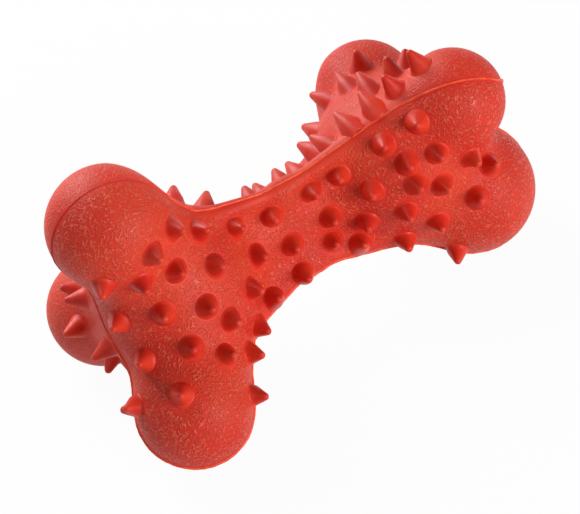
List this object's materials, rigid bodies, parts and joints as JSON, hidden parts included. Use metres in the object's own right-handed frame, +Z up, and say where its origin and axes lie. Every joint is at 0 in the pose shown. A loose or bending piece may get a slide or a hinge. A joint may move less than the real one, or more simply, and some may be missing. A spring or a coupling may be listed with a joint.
{
  "type": "rubber chew bone",
  "caption": "Twisted three-ridged rubber chew bone with rounded knobs at both ends and blunt cone studs over its faces.",
  "frame": {"origin": "on the surface that the bone lies on, straight under the middle of the shaft's long axis", "axes": "+Z up, +X along the shaft towards the end with the closer-set knobs, +Y away from the face shown in the picture"},
  "size_m": [0.1401, 0.0863, 0.0849],
  "materials": {
    "rubber_skin": "moulded leather grain, satin",
    "rubber_studs": "smooth moulded, satin",
    "rubber_flash": "thin ragged mould flash, satin"
  },
  "bodies": {
    "root": {"shaft": "rubber_skin", "left_top_knob": "rubber_skin", "left_front_knob": "rubber_skin", "left_back_knob": "rubber_skin", "right_top_knob": "rubber_skin", "right_front_knob": "rubber_skin", "right_back_knob": "rubber_skin", "front_shaft_studs": "rubber_studs", "front_left_studs": "rubber_studs", "front_right_studs": "rubber_studs", "back_shaft_studs": "rubber_studs", "back_left_studs": "rubber_studs", "back_right_studs": "rubber_studs", "under_shaft_studs": "rubber_studs", "under_left_studs": "rubber_studs", "under_right_studs": "rubber_studs", "top_seam": "rubber_flash", "front_seam": "rubber_flash"}
  },
  "joints": []
}
